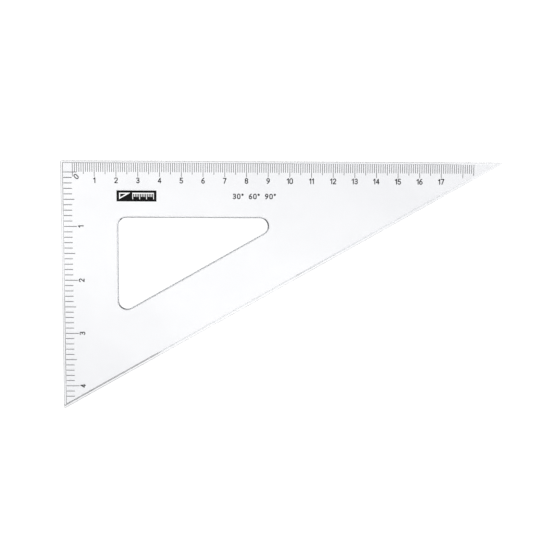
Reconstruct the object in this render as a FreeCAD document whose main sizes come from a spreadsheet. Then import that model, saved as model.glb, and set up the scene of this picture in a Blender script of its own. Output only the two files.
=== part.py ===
import FreeCAD, Part
import math
import os

import Sketcher
from FreeCAD import Placement, Rotation, Vector

# A clear moulded 30/60/90 set square with a centimetre scale, an inch scale and printed marks.
#
# Frame: millimetres. +X runs along the long leg towards the 30 degree tip, +Y from the sloping edge
# towards the long leg, +Z up out of the printed face. The plate lies on Z = 0, and the origin is the
# middle of the plate's box, which is close to the middle of the sloping edge.

SIZES = [
    # the plate
    ("long_leg", 204.2, "long scale edge, if its corners were sharp"),
    ("tip_angle", 30, "angle at the narrow tip, degrees"),
    ("thickness", 2.0, "plate thickness"),
    ("corner_round", 0.3, "radius of the three outer corners"),
    ("margin", 0.8, "raised margin round the underside, out from the step"),
    ("leg_step", 0.22, "height and width of the step's 45 degree face, scale edges"),
    ("slope_step", 0.65, "height and width of the step's 45 degree face, sloping edge"),
    ("edge_break", 0.1, "chamfer round the outline, printed side"),
    ("margin_break", 0.12, "chamfer round the outline, under the margin"),
    ("rim", 26.35, "plate between each edge and the window"),
    ("window_round", 3.8, "radius of the window's corners"),
    ("window_break", 0.3, "chamfer round the window, printed side"),
    ("window_fillet", 1.65, "fillet round the window, underside"),
    # the printing, measured in from the long leg and from the short leg
    ("ink", 0.03, "thickness of the ink film"),
    ("centimetre", 10, "pitch of the numbered centimetre lines"),
    ("centimetre_zero", 5.5, "centimetre zero, from the short leg"),
    ("centimetre_count", 18, "last whole centimetre"),
    ("centimetre_stroke", 0.24, "width of the centimetre scale's lines"),
    ("centimetre_start", 0.85, "where the centimetre scale's lines start"),
    ("millimetre_end", 4.97, "end of the millimetre lines"),
    ("half_centimetre_end", 6.02, "end of the half centimetre lines"),
    ("centimetre_end", 7.17, "end of the centimetre lines"),
    ("inch", 25.4, "pitch of the numbered inch lines"),
    ("inch_zero", 5.12, "inch zero, from the long leg"),
    ("inch_count", 4, "last whole inch"),
    ("inch_stroke", 0.3, "width of the inch scale's lines"),
    ("inch_start", 1.3, "where the inch scale's lines start"),
    ("tenth_inch_end", 5.15, "end of the tenth inch lines"),
    ("half_inch_end", 6.25, "end of the half inch lines"),
    ("inch_end", 7.35, "end of the inch lines"),
    ("numeral_height", 2.7, "height of the scale numerals"),
    ("numeral_stroke", 0.43, "stroke of the scale numerals"),
    ("numeral_gap", 0.22, "space between two digits"),
    ("centimetre_numeral_in", 8.87, "middle of the centimetre numerals"),
    ("inch_numeral_in", 9.05, "middle of the inch numerals"),
    ("zero_in", 7.2, "middle of the shared zero, from both legs"),
    ("label_length", 18.4, "black block along the long leg"),
    ("label_height", 5.15, "black block across the long leg"),
    ("label_along", 34.84, "middle of the black block, from the short leg"),
    ("label_in", 16.1, "middle of the black block, from the long leg"),
    ("symbol_height", 3.0, "height of the white symbol"),
    ("symbol_stroke", 0.5, "rim of its triangle and bar of its ruler"),
    ("symbol_tick", 0.32, "width of the ruler's ticks"),
    ("symbol_pitch", 0.8, "pitch of the ruler's ticks"),
    ("symbol_ticks", 12, "ticks after the first one"),
    ("symbol_long_tick", 4, "one tick in so many is long"),
    ("symbol_short_share", 0.62, "short tick's share of the symbol's height"),
    ("symbol_gap", 0.9, "space between the triangle and the ruler"),
    ("lettering_height", 2.6, "height of the grey lettering"),
    ("lettering_stroke", 0.46, "stroke of the grey lettering"),
    ("lettering_gap", 0.42, "space between two grey characters"),
    ("lettering_along", 89.15, "middle of the grey lettering, from the short leg"),
    ("lettering_in", 16.1, "middle of the grey lettering, from the long leg"),
]

ORIGIN = -1  # the sketcher's number for a sketch's own axes
START = 1
END = 2
NEAR = 1e-4
LEAST_CUT = 1.0  # a pocket that takes less than this many cubic millimetres has missed

doc = FreeCAD.newDocument("SetSquare")
sheet = doc.addObject("Spreadsheet::Sheet", "Sizes")
for row, (alias, value, note) in enumerate(SIZES, start=1):
    sheet.set(f"A{row}", alias)
    sheet.set(f"B{row}", str(value))
    sheet.set(f"C{row}", note)
    sheet.setAlias(f"B{row}", alias)
doc.recompute()


def size(alias):
    """A driving size as a plain number."""
    return float(sheet.get(alias))


# The rounds draw the tip and the foot in from the sharp triangle that the sketches are centred on,
# so every part is shifted to keep the middle of the box at the origin.
SHORT_LEG = "Sizes.long_leg * tan(Sizes.tip_angle)"
SHIFT_X = "Sizes.corner_round * (1 / tan(Sizes.tip_angle / 2) - 1) / 2"
SHIFT_Y = "-Sizes.corner_round * (1 / tan((90 - Sizes.tip_angle) / 2) - 1) / 2"
short_leg = float(sheet.evalExpression(SHORT_LEG))
half_long = size("long_leg") / 2
half_short = short_leg / 2
slope_normal = Vector(
    math.sin(math.radians(size("tip_angle"))),
    -math.cos(math.radians(size("tip_angle"))),
    0,
)


# ---------------------------------------------------------------- sketches and features


def origin_feature(body, role):
    """One of a body's own origin planes or axes."""
    return next(item for item in body.Origin.OriginFeatures if item.Role == role)


def new_body(label):
    body = doc.addObject("PartDesign::Body", label)
    body.Label = label
    return body


def new_sketch(body, name):
    sketch = body.newObject("Sketcher::SketchObject", name)
    sketch.AttachmentSupport = [(origin_feature(body, "XY_Plane"), "")]
    sketch.MapMode = "FlatFace"
    return sketch


def bind(sketch, expression, kind, *places):
    """Add one dimension to a sketch and let an expression drive it."""
    value = float(sketch.evalExpression(expression))
    if kind == "Angle":
        value = math.radians(value)
    index = sketch.addConstraint(Sketcher.Constraint(kind, *places, value))
    sketch.setExpression(f"Constraints[{index}]", expression)


def add_rectangle(sketch, left, top, length, height):
    """A rectangle whose left and top sides lie at these distances right of and below the corner."""
    x = float(sketch.evalExpression(left))
    y = -float(sketch.evalExpression(top))
    dx = float(sketch.evalExpression(length))
    dy = float(sketch.evalExpression(height))
    corners = [Vector(x, y, 0), Vector(x + dx, y, 0), Vector(x + dx, y - dy, 0), Vector(x, y - dy, 0)]
    first = sketch.GeometryCount
    upper, right, lower, left_side = range(first, first + 4)
    for index in range(4):
        sketch.addGeometry(Part.LineSegment(corners[index], corners[(index + 1) % 4]), False)
    for index in range(4):
        after = first + (index + 1) % 4
        sketch.addConstraint(Sketcher.Constraint("Coincident", first + index, END, after, START))
    sketch.addConstraint(Sketcher.Constraint("Horizontal", upper))
    sketch.addConstraint(Sketcher.Constraint("Horizontal", lower))
    sketch.addConstraint(Sketcher.Constraint("Vertical", right))
    sketch.addConstraint(Sketcher.Constraint("Vertical", left_side))
    bind(sketch, left, "DistanceX", ORIGIN, START, upper, START)
    bind(sketch, f"-({top})", "DistanceY", ORIGIN, START, upper, START)
    bind(sketch, length, "DistanceX", upper, START, upper, END)
    bind(sketch, height, "DistanceY", left_side, START, left_side, END)


def new_pad(body, name, sketch, depth):
    pad = body.newObject("PartDesign::Pad", name)
    pad.Profile = sketch
    pad.setExpression("Length", depth)
    body.Tip = pad
    return pad


def new_pattern(body, name, feature, axis, backwards, pitch, count):
    """Repeat a feature in a row along one of the body's axes."""
    pattern = body.newObject("PartDesign::LinearPattern", name)
    pattern.Originals = [feature]
    pattern.Direction = (origin_feature(body, axis), [""])
    pattern.Reversed = backwards
    pattern.Mode = "Spacing"
    pattern.setExpression("Offset", pitch)
    pattern.setExpression("Occurrences", count)
    body.Tip = pattern
    return pattern


def edges_where(shape, height, test):
    """The names of the edges at one height whose middle passes a test."""
    names = []
    for index, edge in enumerate(shape.Edges, start=1):
        middle = edge.valueAt((edge.FirstParameter + edge.LastParameter) / 2)
        level = all(abs(vertex.Z - height) < NEAR for vertex in edge.Vertexes)
        if level and test(middle):
            names.append(f"Edge{index}")
    return names


# ---------------------------------------------------------------- the plate


def rounded_triangle(body, name, rim, radius):
    """The plate's triangle drawn in by the same rim on each side, with a round at each corner.

    The right angle is at the upper left and the narrow tip at the upper right.
    """
    sketch = new_sketch(body, name)
    angle = math.radians(size("tip_angle"))
    inset = float(sketch.evalExpression(rim))
    left = inset - half_long
    upper = half_short - inset
    bend = float(sketch.evalExpression(radius))
    inside = inset + bend  # sloping edge to the rounds' centres
    square = Vector(left + bend, upper - bend, 0)
    tip = Vector((square.y * math.cos(angle) - inside) / math.sin(angle), square.y, 0)
    foot = Vector(square.x, (square.x * math.sin(angle) + inside) / math.cos(angle), 0)
    up = Vector(0, bend, 0)
    back = Vector(-bend, 0, 0)
    out = slope_normal * bend
    rounds = [
        (square, math.radians(90), math.radians(180)),
        (foot, math.radians(180), math.radians(270) + angle),
        (tip, math.radians(270) + angle, math.radians(450)),
    ]
    sides = [(tip + up, square + up), (square + back, foot + back), (foot + out, tip + out)]
    for (start, stop), (centre, first, last) in zip(sides, rounds):
        sketch.addGeometry(Part.LineSegment(start, stop), False)
        circle = Part.Circle(centre, Vector(0, 0, 1), bend)
        sketch.addGeometry(Part.ArcOfCircle(circle, first, last), False)
    for index in range(6):
        sketch.addConstraint(Sketcher.Constraint("Tangent", index, END, (index + 1) % 6, START))
    upper_side, first_round, left_side, second_round, slope, third_round = range(6)
    sketch.addConstraint(Sketcher.Constraint("Horizontal", upper_side))
    sketch.addConstraint(Sketcher.Constraint("Vertical", left_side))
    sketch.addConstraint(Sketcher.Constraint("Equal", first_round, second_round))
    sketch.addConstraint(Sketcher.Constraint("Equal", second_round, third_round))
    bind(sketch, "Sizes.tip_angle", "Angle", slope)
    bind(sketch, radius, "Radius", first_round)
    bind(sketch, f"{SHORT_LEG} / 2 - {rim}", "DistanceY", ORIGIN, START, upper_side, END)
    bind(sketch, f"Sizes.long_leg / 2 - {rim}", "DistanceX", left_side, START, ORIGIN, START)
    if rim == "0":
        sketch.addConstraint(Sketcher.Constraint("PointOnObject", ORIGIN, START, slope))
    else:
        bind(sketch, rim, "Distance", ORIGIN, START, slope)
    return sketch


def step_profile(body, name, turn, reach, step):
    """What is taken from under one edge, on an upright plane square to that edge.

    The sketch's X axis points out of the edge, which lies a distance reach from the origin. The
    profile leaves the raised margin and the slanting face behind it.
    """
    sketch = body.newObject("Sketcher::SketchObject", name)
    sketch.AttachmentSupport = [(origin_feature(body, "XZ_Plane"), "")]
    sketch.MapMode = "FlatFace"
    degrees = float(sketch.evalExpression(turn))
    sketch.AttachmentOffset = Placement(Vector(), Rotation(Vector(0, 1, 0), degrees))
    sketch.setExpression("AttachmentOffset.Rotation.Angle", turn)
    edge = float(sketch.evalExpression(reach))
    rise = float(sketch.evalExpression(step))
    inner = edge - size("margin")
    corners = [
        Vector(inner - rise, 0, 0),
        Vector(edge, 0, 0),
        Vector(edge, rise, 0),
        Vector(inner, rise, 0),
    ]
    for index in range(4):
        sketch.addGeometry(Part.LineSegment(corners[index], corners[(index + 1) % 4]), False)
    for index in range(4):
        sketch.addConstraint(Sketcher.Constraint("Coincident", index, END, (index + 1) % 4, START))
    underside, side, ceiling, slant = range(4)
    sketch.addConstraint(Sketcher.Constraint("Horizontal", underside))
    sketch.addConstraint(Sketcher.Constraint("Vertical", side))
    sketch.addConstraint(Sketcher.Constraint("Horizontal", ceiling))
    sketch.addConstraint(Sketcher.Constraint("PointOnObject", underside, START, ORIGIN))
    bind(sketch, f"{reach} - Sizes.margin", "DistanceX", ORIGIN, START, slant, START)
    bind(sketch, "Sizes.margin", "DistanceX", slant, START, side, START)
    bind(sketch, step, "DistanceX", slant, END, slant, START)
    bind(sketch, step, "DistanceY", side, START, side, END)
    return sketch


def cut_through(body, name, sketch, both_ways):
    """Pocket a profile right through the body, and make sure that it took something away."""
    before = body.Shape.Volume
    pocket = body.newObject("PartDesign::Pocket", name)
    pocket.Profile = sketch
    pocket.Type = "ThroughAll"
    pocket.Midplane = both_ways
    pocket.Reversed = not both_ways
    body.Tip = pocket
    doc.recompute()
    if before - pocket.Shape.Volume < LEAST_CUT:
        raise RuntimeError(f"{name} cut nothing")
    return pocket


def dress_edges(body, kind, name, edges, distance):
    """Chamfer or fillet the named edges of the body as it is so far."""
    base = body.Tip
    feature = body.newObject(f"PartDesign::{kind}", name)
    feature.Base = (base, edges)
    feature.setExpression({"Chamfer": "Size", "Fillet": "Radius"}[kind], distance)
    body.Tip = feature
    doc.recompute()


def clear_plate():
    """The moulded plate: outline, stepped margin under its edges, window, chamfers and fillet."""
    body = new_body("clear_plate")
    top = size("thickness")
    outline = rounded_triangle(body, "PlateOutline", "0", "Sizes.corner_round")
    new_pad(body, "PlatePad", outline, "Sizes.thickness")
    doc.recompute()
    steps = [
        ("LongStep", "90", f"{SHORT_LEG} / 2", "Sizes.leg_step"),
        ("ShortStep", "180", "Sizes.long_leg / 2", "Sizes.leg_step"),
        ("SlopeStep", "Sizes.tip_angle - 90", "0", "Sizes.slope_step"),
    ]
    for name, turn, reach, step in steps:
        profile = step_profile(body, f"{name}Profile", turn, reach, step)
        cut_through(body, name, profile, both_ways=True)
    window = rounded_triangle(body, "WindowOutline", "Sizes.rim", "Sizes.window_round")
    cut_through(body, "Window", window, both_ways=False)
    foot = size("margin") + size("slope_step")

    def inward(point):
        """How far a point lies in from the nearest of the three outer edges."""
        return min(half_short - point.y, point.x + half_long, -point.dot(slope_normal))

    def on_outline(point):
        return inward(point) < size("corner_round")

    def on_side(point):
        return inward(point) < NEAR

    def on_window(point):
        return inward(point) > foot + NEAR

    upper = edges_where(body.Shape, top, on_outline)
    dress_edges(body, "Chamfer", "OutlineBreak", upper, "Sizes.edge_break")
    lower = edges_where(body.Shape, size("leg_step"), on_side)
    lower += edges_where(body.Shape, size("slope_step"), on_side)
    dress_edges(body, "Chamfer", "MarginBreak", lower, "Sizes.margin_break")
    upper = edges_where(body.Shape, top, on_window)
    dress_edges(body, "Chamfer", "WindowBreak", upper, "Sizes.window_break")
    lower = edges_where(body.Shape, 0, on_window)
    dress_edges(body, "Fillet", "WindowFillet", lower, "Sizes.window_fillet")
    body.setExpression("Placement.Base.x", SHIFT_X)
    body.setExpression("Placement.Base.y", SHIFT_Y)
    return body


# ---------------------------------------------------------------- the scale lines


def put_on_face(item, along="0", inward="0"):
    """Place an object on the printed face, so far in from the short leg and from the long leg."""
    item.setExpression("Placement.Base.x", f"{SHIFT_X} - Sizes.long_leg / 2 + {along}")
    item.setExpression("Placement.Base.y", f"{SHIFT_Y} + {SHORT_LEG} / 2 - {inward}")
    item.setExpression("Placement.Base.z", "Sizes.thickness")


def ink_body(label):
    """A body whose own origin is the right-angled corner of the printed face."""
    body = new_body(label)
    put_on_face(body)
    return body


def centimetre_sketch(body, name, steps, end):
    """Lines down from the long leg, each so many millimetres along from the zero."""
    sketch = new_sketch(body, name)
    for step in steps:
        left = f"Sizes.centimetre_zero + {step} * Sizes.centimetre / 10 - Sizes.centimetre_stroke / 2"
        length = f"{end} - Sizes.centimetre_start"
        add_rectangle(sketch, left, "Sizes.centimetre_start", "Sizes.centimetre_stroke", length)
    return sketch


def inch_sketch(body, name, steps, end):
    """Lines in from the short leg, each so many tenths of an inch down from the zero."""
    sketch = new_sketch(body, name)
    for step in steps:
        top = f"Sizes.inch_zero + {step} * Sizes.inch / 10 - Sizes.inch_stroke / 2"
        length = f"{end} - Sizes.inch_start"
        add_rectangle(sketch, "Sizes.inch_start", top, length, "Sizes.inch_stroke")
    return sketch


def centimetre_row(label, steps, end, pitch, count):
    body = ink_body(label)
    sketch = centimetre_sketch(body, f"{label}_sketch", steps, end)
    pad = new_pad(body, f"{label}_pad", sketch, "Sizes.ink")
    new_pattern(body, f"{label}_row", pad, "X_Axis", False, pitch, count)
    return body


def inch_row(label, steps, end, pitch, count):
    body = ink_body(label)
    sketch = inch_sketch(body, f"{label}_sketch", steps, end)
    pad = new_pad(body, f"{label}_pad", sketch, "Sizes.ink")
    new_pattern(body, f"{label}_row", pad, "Y_Axis", True, pitch, count)
    return body


def scale_lines():
    """Six rows of lines. The unnumbered ones come in fours between the medium and long ones."""
    centimetres = "Sizes.centimetre_count"
    inches_long = "Sizes.inch_count"
    whole = centimetre_row(
        "centimetre_lines", [0], "Sizes.centimetre_end", "Sizes.centimetre", f"{centimetres} + 1"
    )
    halves = centimetre_row(
        "half_centimetre_lines",
        [5],
        "Sizes.half_centimetre_end",
        "Sizes.centimetre",
        f"{centimetres} - 1",
    )
    small = centimetre_row(
        "millimetre_lines",
        [1, 2, 3, 4],
        "Sizes.millimetre_end",
        "Sizes.centimetre / 2",
        f"{centimetres} * 2 + 1",
    )
    inches = inch_row("inch_lines", [0], "Sizes.inch_end", "Sizes.inch", f"{inches_long} + 1")
    half_inches = inch_row("half_inch_lines", [5], "Sizes.half_inch_end", "Sizes.inch", inches_long)
    tenths = inch_row(
        "tenth_inch_lines", [1, 2, 3, 4], "Sizes.tenth_inch_end", "Sizes.inch / 2", f"{inches_long} * 2"
    )
    # the half centimetre before the last one has a line no longer than its neighbours
    plain = (int(size("centimetre_count")) - 1) * 10 + 5
    short = centimetre_sketch(small, "plain_half_sketch", [plain], "Sizes.millimetre_end")
    new_pad(small, "plain_half_pad", short, "Sizes.ink")
    medium = centimetre_sketch(halves, "last_half_sketch", [plain + 10], "Sizes.half_centimetre_end")
    new_pad(halves, "last_half_pad", medium, "Sizes.ink")

    last = int(size("inch_count")) * 10
    tail = inch_sketch(tenths, "last_tenths_sketch", [last + 1, last + 2], "Sizes.tenth_inch_end")
    new_pad(tenths, "last_tenths_pad", tail, "Sizes.ink")
    doc.recompute()

    # the inch zero line stops each side of the centimetre zero line that crosses it
    crossing = new_sketch(inches, "crossing_sketch")
    add_rectangle(
        crossing,
        "Sizes.centimetre_zero - Sizes.centimetre_stroke / 2",
        "Sizes.centimetre_start",
        "Sizes.centimetre_stroke",
        "Sizes.centimetre_end - Sizes.centimetre_start",
    )
    gap = inches.newObject("PartDesign::Pocket", "crossing_gap")
    gap.Profile = crossing
    gap.Type = "ThroughAll"
    gap.Reversed = True
    inches.Tip = gap
    return [whole, halves, small, inches, half_inches, tenths]


# ---------------------------------------------------------------- the lettering

# Plain technical lettering, drawn as strokes of one width with round ends. A stroke is a line
# (x, y, x, y) or an arc (centre x, centre y, radius, first degree, last degree). One unit is the
# height between the middles of the top and bottom strokes, and each character starts at x = 0.

WIDE = 0.54
BOWL = WIDE / 2
LOOP = 0.235  # the smaller upper loop of the 3 and the 8
WAIST = 1 - 2 * LOOP
LOWER = WAIST / 2
HOOK = 0.44  # how far over the 6's stem reaches
SWEEP = (HOOK**2 + (1 - BOWL) ** 2) / (2 * HOOK)  # radius of that stem, upright where it meets the bowl
SWEEP_END = math.degrees(math.atan2(1 - BOWL, HOOK - SWEEP))
RING = 0.13

SIX = [
    (BOWL, BOWL, BOWL, 0, 360),
    (SWEEP, BOWL, SWEEP, SWEEP_END, 180),
]
NINE = [
    (WIDE - BOWL, 1 - BOWL, BOWL, 0, 360),
    (WIDE - SWEEP, 1 - BOWL, SWEEP, SWEEP_END - 180, 0),
]
CHARACTERS = {
    "0": (
        WIDE,
        [
            (BOWL, 1 - BOWL, BOWL, 0, 180),
            (0, 1 - BOWL, 0, BOWL),
            (BOWL, BOWL, BOWL, 180, 360),
            (WIDE, BOWL, WIDE, 1 - BOWL),
        ],
    ),
    "1": (0.26, [(0, 0.76, 0.26, 1), (0.26, 1, 0.26, 0)]),
    "2": (
        WIDE,
        [
            (BOWL, 1 - BOWL, BOWL, -35, 165),
            (BOWL * (1 + math.cos(math.radians(35))), 1 - BOWL * (1 + math.sin(math.radians(35))), 0, 0),
            (0, 0, WIDE, 0),
        ],
    ),
    "3": (
        WIDE,
        [
            (BOWL, 1 - LOOP, LOOP, -90, 155),
            (BOWL, LOWER, LOWER, -155, 90),
            (0.18, WAIST, BOWL, WAIST),
        ],
    ),
    "4": (0.58, [(0.42, 1, 0, 0.27), (0, 0.27, 0.58, 0.27), (0.42, 1, 0.42, 0)]),
    "5": (
        WIDE,
        [
            (0.08, 1, 0.5, 1),
            (0.08, 1, 0.04, 0.51),
            (0.24, 0.3, 0.3, -145, 135),
        ],
    ),
    "6": (WIDE, SIX),
    "7": (WIDE, [(0, 1, WIDE, 1), (WIDE, 1, 0.17, 0)]),
    "8": (WIDE, [(BOWL, 1 - LOOP, LOOP, 0, 360), (BOWL, LOWER, LOWER, 0, 360)]),
    "9": (WIDE, NINE),
    "\N{DEGREE SIGN}": (2 * RING, [(RING, 1 - RING, RING, 0, 360)]),
    " ": (0.5, []),
}


def disc(centre, radius):
    circle = Part.Circle(centre, Vector(0, 0, 1), radius)
    return Part.Face(Part.Wire(circle.toShape()))


def line_stroke(start, stop, stroke):
    """A bar of the stroke's width with round ends."""
    side = (stop - start).normalize().cross(Vector(0, 0, 1)) * (stroke / 2)
    corners = [start + side, stop + side, stop - side, start - side, start + side]
    bar = Part.Face(Part.makePolygon(corners))
    return [bar, disc(start, stroke / 2), disc(stop, stroke / 2)]


def arc_stroke(centre, radius, first, last, stroke):
    """A band of the stroke's width round an arc, with round ends unless it is a full ring."""
    outer = radius + stroke / 2
    inner = radius - stroke / 2
    if last - first == 360:
        return [disc(centre, outer).cut(disc(centre, inner))]
    edges = []
    for bend in (outer, inner):
        circle = Part.Circle(centre, Vector(0, 0, 1), bend)
        edges.append(Part.ArcOfCircle(circle, math.radians(first), math.radians(last)).toShape())
    ends = []
    for degrees in (first, last):
        outward = Vector(math.cos(math.radians(degrees)), math.sin(math.radians(degrees)), 0)
        edges.append(Part.LineSegment(centre + outward * inner, centre + outward * outer).toShape())
        ends.append(disc(centre + outward * radius, stroke / 2))
    band = Part.Face(Part.Wire(Part.__sortEdges__(edges)))
    return [band] + ends


def character_solid(strokes, unit, stroke, x):
    """One character as one thin solid, its first stroke's middle at x."""
    faces = []
    for item in strokes:
        if len(item) == 4:
            start = Vector(x + item[0] * unit, item[1] * unit, 0)
            stop = Vector(x + item[2] * unit, item[3] * unit, 0)
            faces += line_stroke(start, stop, stroke)
        else:
            centre = Vector(x + item[0] * unit, item[1] * unit, 0)
            faces += arc_stroke(centre, item[2] * unit, item[3], item[4], stroke)
    pieces = [face.extrude(Vector(0, 0, size("ink"))) for face in faces]
    return pieces[0].multiFuse(pieces[1:]).removeSplitter().Solids


def lettering(text, height, stroke, gap):
    """A line of text as thin solids, centred on the origin and reading along +X."""
    unit = height - stroke
    solids = []
    x = 0
    for character in text:
        width, strokes = CHARACTERS[character]
        if strokes:
            solids += character_solid(strokes, unit, stroke, x)
        x += width * unit + stroke + gap
    length = x - stroke - gap
    middle = Vector(-length / 2, -unit / 2, 0)
    return [solid.translated(middle) for solid in solids]


def printed_feature(label, solids):
    """Solids given from the right-angled corner of the printed face, as one object in place."""
    feature = doc.addObject("Part::Feature", label)
    feature.Label = label
    feature.Shape = Part.makeCompound(solids)
    put_on_face(feature)
    return feature


def placed(solids, along, inward, turn):
    """Move solids to a spot measured in from the short leg and from the long leg."""
    spot = Placement(Vector(along, -inward, 0), Rotation(Vector(0, 0, 1), turn))
    return [solid.transformed(spot.toMatrix()) for solid in solids]


def scale_numeral(text):
    return lettering(text, size("numeral_height"), size("numeral_stroke"), size("numeral_gap"))


def centimetre_numerals():
    solids = []
    for number in range(1, int(size("centimetre_count"))):
        along = size("centimetre_zero") + number * size("centimetre")
        solids += placed(scale_numeral(str(number)), along, size("centimetre_numeral_in"), 0)
    return printed_feature("centimetre_numerals", solids)


def inch_numerals():
    """The tops of these numerals point at the short leg."""
    solids = []
    for number in range(1, int(size("inch_count")) + 1):
        inward = size("inch_zero") + number * size("inch")
        solids += placed(scale_numeral(str(number)), size("inch_numeral_in"), inward, 90)
    return printed_feature("inch_numerals", solids)


def corner_zero():
    """One zero for both scales, its top leaning to the right-angled corner."""
    solids = placed(scale_numeral("0"), size("zero_in"), size("zero_in"), 45)
    return printed_feature("corner_zero", solids)


def angle_lettering():
    text = "30\N{DEGREE SIGN} 60\N{DEGREE SIGN} 90\N{DEGREE SIGN}"
    solids = lettering(text, size("lettering_height"), size("lettering_stroke"), size("lettering_gap"))
    solids = placed(solids, size("lettering_along"), size("lettering_in"), 0)
    return printed_feature("angle_lettering", solids)


# ---------------------------------------------------------------- the black label


def label_panel():
    panel = doc.addObject("Part::Box", "label_panel")
    panel.Label = "label_panel"
    panel.setExpression("Length", "Sizes.label_length")
    panel.setExpression("Width", "Sizes.label_height")
    panel.setExpression("Height", "Sizes.ink")
    left = "(Sizes.label_along - Sizes.label_length / 2)"
    bottom = "(Sizes.label_in + Sizes.label_height / 2)"
    put_on_face(panel, left, bottom)
    return panel


def flat_triangle(corner, length, height):
    """A right triangle hanging from its right angle at the upper left."""
    points = [corner, corner + Vector(0, -height, 0), corner + Vector(length, 0, 0), corner]
    return Part.Face(Part.makePolygon(points))


def label_symbol():
    """A small set square beside a short ruler, white on the black block."""
    angle = math.radians(size("tip_angle"))
    height = size("symbol_height")
    rim = size("symbol_stroke")
    ink = size("ink")
    triangle_length = height / math.tan(angle)
    ruler_length = size("symbol_ticks") * size("symbol_pitch") + size("symbol_tick")
    left = -(triangle_length + size("symbol_gap") + ruler_length) / 2

    # equal rims leave a smaller triangle of the same shape
    corner = Vector(left, height / 2, 0)
    hole_height = height - rim * (1 + math.tan(angle) + 1 / math.cos(angle))
    hole = flat_triangle(corner + Vector(rim, -rim, 0), hole_height / math.tan(angle), hole_height)
    triangle = flat_triangle(corner, triangle_length, height).cut(hole)

    start = left + triangle_length + size("symbol_gap")
    ruler = Part.makeBox(ruler_length, rim, ink, Vector(start, height / 2 - rim, 0))
    for tick in range(int(size("symbol_ticks")) + 1):
        long_one = tick % int(size("symbol_long_tick")) == 0
        depth = height if long_one else height * size("symbol_short_share")
        spot = Vector(start + tick * size("symbol_pitch"), height / 2 - depth, 0)
        ruler = ruler.fuse(Part.makeBox(size("symbol_tick"), depth, ink, spot))

    solids = triangle.extrude(Vector(0, 0, ink)).Solids + ruler.removeSplitter().Solids
    feature = printed_feature("label_symbol", placed(solids, size("label_along"), size("label_in"), 0))
    feature.setExpression("Placement.Base.z", "Sizes.thickness + Sizes.ink")
    return feature


# ---------------------------------------------------------------- build, check and write

subparts = [clear_plate()]
subparts += scale_lines()
subparts += [centimetre_numerals(), inch_numerals(), corner_zero()]
subparts += [label_panel(), label_symbol(), angle_lettering()]
doc.recompute()

for item in doc.Objects:
    if "Invalid" in item.State or "Error" in item.State:
        raise RuntimeError(f"{item.Name} failed: {item.State}")
    if item.TypeId == "Sketcher::SketchObject" and not item.FullyConstrained:
        raise RuntimeError(f"{item.Name} is not fully constrained")

os.makedirs("parts", exist_ok=True)
for item in subparts:
    if item.Shape.isNull() or not item.Shape.isValid() or not item.Shape.Solids:
        raise RuntimeError(f"{item.Label} has no sound shape")
    item.Shape.exportStep(f"parts/{item.Label}.step")
    box = item.Shape.BoundBox
    print(
        f"{item.Label}: {len(item.Shape.Solids)} solids, {box.XLength:.2f} x {box.YLength:.2f} x "
        f"{box.ZLength:.3f} mm, {item.Shape.Volume:.3f} mm3"
    )
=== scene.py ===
import math

import bpy
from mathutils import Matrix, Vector

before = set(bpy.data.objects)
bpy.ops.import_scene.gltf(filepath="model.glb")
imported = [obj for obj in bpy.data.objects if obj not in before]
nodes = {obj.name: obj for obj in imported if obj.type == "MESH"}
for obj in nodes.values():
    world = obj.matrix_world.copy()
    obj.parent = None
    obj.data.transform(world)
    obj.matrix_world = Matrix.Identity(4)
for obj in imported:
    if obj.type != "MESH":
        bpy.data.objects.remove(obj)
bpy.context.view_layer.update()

scene = bpy.context.scene

# ---------------------------------------------------------------- camera

# The camera stands over the long edge and looks down at the plate, leaning towards the sloping edge.
SENSOR = 36.0  # mm
LENS = 111.829  # mm
CAMERA_SPOT = Vector((-0.02262, 0.16673, 0.78806))
CAMERA_TURN = (-11.6481, -1.4216, 0.4967)  # degrees about X, Y and Z


def add_camera():
    data = bpy.data.cameras.new("camera")
    data.sensor_width = SENSOR
    data.lens = LENS
    data.clip_start = 0.01
    camera = bpy.data.objects.new("camera", data)
    scene.collection.objects.link(camera)
    camera.location = CAMERA_SPOT
    camera.rotation_euler = [math.radians(turn) for turn in CAMERA_TURN]
    scene.camera = camera


# ---------------------------------------------------------------- node helpers


def new_material(name):
    material = bpy.data.materials.new(name)
    material.use_nodes = True
    tree = material.node_tree
    return material, tree.nodes, tree.links, tree.nodes["Principled BSDF"]


def noise(made, links, place, scale, detail, distortion=0.0):
    """Noise over the object's own coordinates, in features per metre."""
    texture = made.new("ShaderNodeTexNoise")
    texture.inputs["Scale"].default_value = scale
    texture.inputs["Detail"].default_value = detail
    texture.inputs["Distortion"].default_value = distortion
    links.new(place, texture.inputs["Vector"])
    return texture.outputs["Fac"]


def spread(made, links, value, low, high, least, most, kind="SMOOTHSTEP"):
    """Map a texture's low to high onto least to most."""
    ramp = made.new("ShaderNodeMapRange")
    ramp.interpolation_type = kind
    ramp.inputs["From Min"].default_value = low
    ramp.inputs["From Max"].default_value = high
    ramp.inputs["To Min"].default_value = least
    ramp.inputs["To Max"].default_value = most
    links.new(value, ramp.inputs["Value"])
    return ramp.outputs["Result"]


# A Mix node has sockets of one name for each kind of value, so its colour sockets go by number.
FIRST_COLOUR = 6
SECOND_COLOUR = 7
MIXED_COLOUR = 2


def blend(made, links, factor, first, second):
    """Mix two colours. Either may be a plain colour or a socket."""
    mix = made.new("ShaderNodeMix")
    mix.data_type = "RGBA"
    links.new(factor, mix.inputs["Factor"])
    for number, colour in ((FIRST_COLOUR, first), (SECOND_COLOUR, second)):
        socket = mix.inputs[number]
        if isinstance(colour, tuple):
            socket.default_value = (*colour, 1)
        else:
            links.new(colour, socket)
    return mix.outputs[MIXED_COLOUR]


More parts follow.
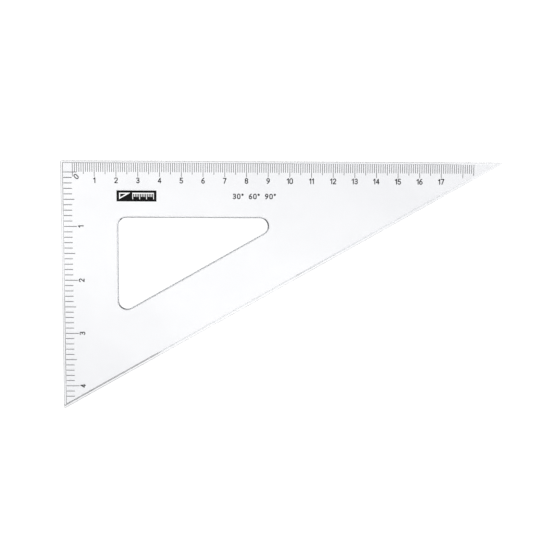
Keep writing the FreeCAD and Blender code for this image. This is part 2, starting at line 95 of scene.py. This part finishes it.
def across(made, links, place, direction):
    """How far a point lies in one direction, for a direction that need not be of length one."""
    dot = made.new("ShaderNodeVectorMath")
    dot.operation = "DOT_PRODUCT"
    dot.inputs[1].default_value = direction
    links.new(place, dot.inputs[0])
    return dot.outputs["Value"]


def maths(made, links, operation, first, second=None):
    """One Math node. The first input is a socket, the second a socket, a number or nothing."""
    node = made.new("ShaderNodeMath")
    node.operation = operation
    links.new(first, node.inputs[0])
    if isinstance(second, float):
        node.inputs[1].default_value = second
    elif second is not None:
        links.new(second, node.inputs[1])
    return node.outputs[0]


def bump(made, links, height, distance, before=None):
    node = made.new("ShaderNodeBump")
    node.inputs["Distance"].default_value = distance
    links.new(height, node.inputs["Height"])
    if before is not None:
        links.new(before, node.inputs["Normal"])
    return node.outputs["Normal"]


# ---------------------------------------------------------------- stage

FLOOR_SIZE = 3.0  # m
FLOOR_GAP = 0.0001  # m, the plate rests this far above the floor, so that their faces don't coincide
FLOOR_COLOUR = (0.92, 0.92, 0.92)
FLOOR_ROUGH = 0.9


def add_floor():
    half = FLOOR_SIZE / 2
    z = -FLOOR_GAP
    mesh = bpy.data.meshes.new("floor")
    corners = [(-half, -half, z), (half, -half, z), (half, half, z), (-half, half, z)]
    mesh.from_pydata(corners, [], [(0, 1, 2, 3)])
    floor = bpy.data.objects.new("floor", mesh)
    scene.collection.objects.link(floor)
    material, _, _, shader = new_material("pale_floor")
    shader.inputs["Base Color"].default_value = (*FLOOR_COLOUR, 1)
    shader.inputs["Roughness"].default_value = FLOOR_ROUGH
    shader.inputs["Specular IOR Level"].default_value = 0.0
    mesh.materials.append(material)


UPWARDS = (0, 0, 1)
WORLD_STRENGTH = 1.25
FULL_BRIGHT = 0.45  # how far up, as the sine of the height angle, the studio is fully bright
DIM_HORIZON = (0.05, 0.05, 0.052)
LIT_HORIZON = (0.8, 0.8, 0.81)
LIT_SIDE = (-0.5, 0.866, 0.0)  # the studio's brighter walls stand behind the long edge
SIDE_REACH = 0.9  # how far towards and away from that side the horizon goes on changing
ZENITH = (1.0, 1.0, 1.0)


def add_world():
    """A soft studio: bright overhead, with one side of the horizon lighter than the other."""
    world = bpy.data.worlds.new("studio")
    scene.world = world
    world.use_nodes = True
    made, links = world.node_tree.nodes, world.node_tree.links
    background = made["Background"]
    place = made.new("ShaderNodeTexCoord").outputs["Generated"]
    side = spread(made, links, across(made, links, place, LIT_SIDE), -SIDE_REACH, SIDE_REACH, 0, 1)
    horizon = blend(made, links, side, DIM_HORIZON, LIT_HORIZON)
    height = spread(made, links, across(made, links, place, UPWARDS), 0, FULL_BRIGHT, 0, 1, "LINEAR")
    links.new(blend(made, links, height, horizon, ZENITH), background.inputs["Color"])
    background.inputs["Strength"].default_value = WORLD_STRENGTH


# ---------------------------------------------------------------- materials

PLASTIC_IOR = 1.59  # polystyrene
# The plastic's colour is lighter along a band across the plate and darker away from it, with random
# patches on top.
LIGHTEST_TINT = (0.956, 0.957, 0.958)
DARKEST_TINT = (0.862, 0.865, 0.872)
LIGHT_BAND = (0.356, 0.934, 0.0)  # square to the lightest band, which runs across the plate
LIGHT_BAND_AT = -0.008  # m, how far in that direction the band's middle lies
LIGHT_HALF = 0.01  # m from the band's middle, where the darkening starts
DARKEST_FROM = 0.07  # m from the band's middle, where the plate's colour is darkest
CLOUD_SIZE = 38.0  # features per metre
CLOUD_EDGE = (0.3, 0.7)  # the noise levels from lighter to darker
CLOUD_SHARE = 0.3  # how much the random patches change the darkening
WAVE_SIZE = 60.0  # features per metre
WAVE_DEPTH = 0.00002  # m
SCUFFS = [(12.0, 2600.0, 28.0), (9.0, 2100.0, -51.0)]  # features along and across, and degrees turned
SCUFF_EDGE = (0.68, 0.74)  # the noise levels between which a scratch starts
SCUFF_DEPTH = 0.000001  # m
SMEAR_SIZE = 90.0  # features per metre
SMEAR_EDGE = (0.5, 0.75)
ROUGHEST = 0.03
SIDE_TURN = (0.98, 0.8)  # how squarely a face looks up or down, from a flat face to a side
SIDE_ROUGH = 0.12  # the sides and the slanting faces are less polished than the two flat ones
ABSORPTION = 6.0  # per metre
ABSORBED_TO = (0.0, 0.1, 0.3)  # the colour that light takes on deep in the plastic
LAMP_TINT = (0.97, 0.97, 0.975)


def scuffs(made, links, place):
    """Fine handling scratches: noise drawn out into long hairlines in two directions."""
    heights = []
    for along, sideways, turn in SCUFFS:
        mapping = made.new("ShaderNodeMapping")
        mapping.inputs["Rotation"].default_value = (0, 0, math.radians(turn))
        mapping.inputs["Scale"].default_value = (along, sideways, 1)
        links.new(place, mapping.inputs["Vector"])
        hair = noise(made, links, mapping.outputs["Vector"], 1.0, 0)
        heights.append(spread(made, links, hair, *SCUFF_EDGE, 1, 0))
    return maths(made, links, "MINIMUM", heights[0], heights[1])


def clear_plastic():
    material, made, links, shader = new_material("clear_polystyrene")
    place = made.new("ShaderNodeTexCoord").outputs["Object"]
    # Lighter along a band across the plate, darker away from it, with random patches.
    band = maths(made, links, "SUBTRACT", across(made, links, place, LIGHT_BAND), LIGHT_BAND_AT)
    away = maths(made, links, "ABSOLUTE", band)
    darkening = spread(made, links, away, LIGHT_HALF, DARKEST_FROM, 0, 1, "LINEAR")
    cloud = noise(made, links, place, CLOUD_SIZE, 3, 0.8)
    patches = spread(made, links, cloud, *CLOUD_EDGE, -CLOUD_SHARE / 2, CLOUD_SHARE / 2)
    share = maths(made, links, "ADD", darkening, patches)
    links.new(blend(made, links, share, LIGHTEST_TINT, DARKEST_TINT), shader.inputs["Base Color"])
    smear = noise(made, links, place, SMEAR_SIZE, 4, 1.5)
    polish = spread(made, links, smear, *SMEAR_EDGE, 0, ROUGHEST)
    facing = made.new("ShaderNodeTexCoord").outputs["Normal"]
    flat = maths(made, links, "ABSOLUTE", across(made, links, facing, UPWARDS))
    side = spread(made, links, flat, *SIDE_TURN, 0, SIDE_ROUGH)
    links.new(maths(made, links, "MAXIMUM", polish, side), shader.inputs["Roughness"])
    wave = noise(made, links, place, WAVE_SIZE, 1)
    flow = bump(made, links, wave, WAVE_DEPTH)
    worn = bump(made, links, scuffs(made, links, place), SCUFF_DEPTH, flow)
    links.new(worn, shader.inputs["Normal"])
    shader.inputs["Transmission Weight"].default_value = 1.0
    shader.inputs["IOR"].default_value = PLASTIC_IOR

    # Lamp light and light off the table go straight through, without being bent.
    path = made.new("ShaderNodeLightPath")
    clear = made.new("ShaderNodeBsdfTransparent")
    clear.inputs["Color"].default_value = (*LAMP_TINT, 1)
    before = shader
    for kind in ("Is Shadow Ray", "Is Diffuse Ray"):
        mix = made.new("ShaderNodeMixShader")
        links.new(path.outputs[kind], mix.inputs[0])
        links.new(before.outputs[0], mix.inputs[1])
        links.new(clear.outputs[0], mix.inputs[2])
        before = mix
    depth = made.new("ShaderNodeVolumeAbsorption")
    depth.inputs["Color"].default_value = (*ABSORBED_TO, 1)
    depth.inputs["Density"].default_value = ABSORPTION
    output = made["Material Output"]
    links.new(before.outputs[0], output.inputs["Surface"])
    links.new(depth.outputs[0], output.inputs["Volume"])
    return material


GRAIN_SIZE = 2600.0  # the ink's own grain, features per metre
GRAIN_EDGE = (0.3, 0.7)  # the noise levels from smooth to rough
WORN_EDGE = (0.55, 0.8)  # the noise levels from full ink to thin ink
WORN_SHARE = 0.6
PATCH_SIZE = 260.0  # thinner and thicker patches of ink, per metre
PATCH_EDGE = (0.35, 0.7)
GRAIN_DEPTH = 0.000006  # m
INK_SHINE = 0.08  # matte ink mirrors much less of the bright studio than the plastic does


def ink(name, colour, thin_colour, roughness):
    """Screen printed ink: patches where it lies thinner, a fine grain and a slight unevenness."""
    material, made, links, shader = new_material(name)
    place = made.new("ShaderNodeTexCoord").outputs["Object"]
    patch = noise(made, links, place, PATCH_SIZE, 2)
    grain = noise(made, links, place, GRAIN_SIZE, 3)
    body = blend(made, links, spread(made, links, patch, *PATCH_EDGE, 0, 1), colour, thin_colour)
    worn = spread(made, links, grain, *WORN_EDGE, 0, WORN_SHARE)
    links.new(blend(made, links, worn, body, thin_colour), shader.inputs["Base Color"])
    smooth, rough = roughness
    links.new(spread(made, links, grain, *GRAIN_EDGE, smooth, rough), shader.inputs["Roughness"])
    links.new(bump(made, links, grain, GRAIN_DEPTH), shader.inputs["Normal"])
    shader.inputs["Specular IOR Level"].default_value = INK_SHINE
    return material


def finish_nodes():
    dark = ink("scale_ink", (0.02, 0.02, 0.023), (0.045, 0.045, 0.05), (0.4, 0.65))
    black = ink("numeral_ink", (0.004, 0.004, 0.005), (0.012, 0.012, 0.014), (0.35, 0.6))
    panel = ink("label_black", (0.002, 0.002, 0.002), (0.006, 0.006, 0.007), (0.3, 0.5))
    white = ink("label_white", (0.93, 0.93, 0.93), (0.8, 0.8, 0.81), (0.4, 0.6))
    grey = ink("grey_ink", (0.012, 0.012, 0.014), (0.03, 0.03, 0.033), (0.4, 0.65))
    looks = {
        "clear_plate": clear_plastic(),
        "centimetre_lines": dark,
        "half_centimetre_lines": dark,
        "millimetre_lines": dark,
        "inch_lines": dark,
        "half_inch_lines": dark,
        "tenth_inch_lines": dark,
        "centimetre_numerals": black,
        "inch_numerals": black,
        "corner_zero": black,
        "label_panel": panel,
        "label_symbol": white,
        "angle_lettering": grey,
    }
    for name, material in looks.items():
        for slot in nodes[name].material_slots:
            slot.material = material
        if name != "clear_plate":
            # A shortcut that keeps the table under the plate pale. Real ink would shade it faintly.
            nodes[name].visible_shadow = False
            nodes[name].visible_diffuse = False


# Light that a fillet turns along the plate meets its faces many times before it leaves.
BOUNCES = 40

add_camera()
add_floor()
add_world()
finish_nodes()
scene.view_settings.view_transform = "Standard"
scene.cycles.max_bounces = BOUNCES
scene.cycles.transmission_bounces = BOUNCES
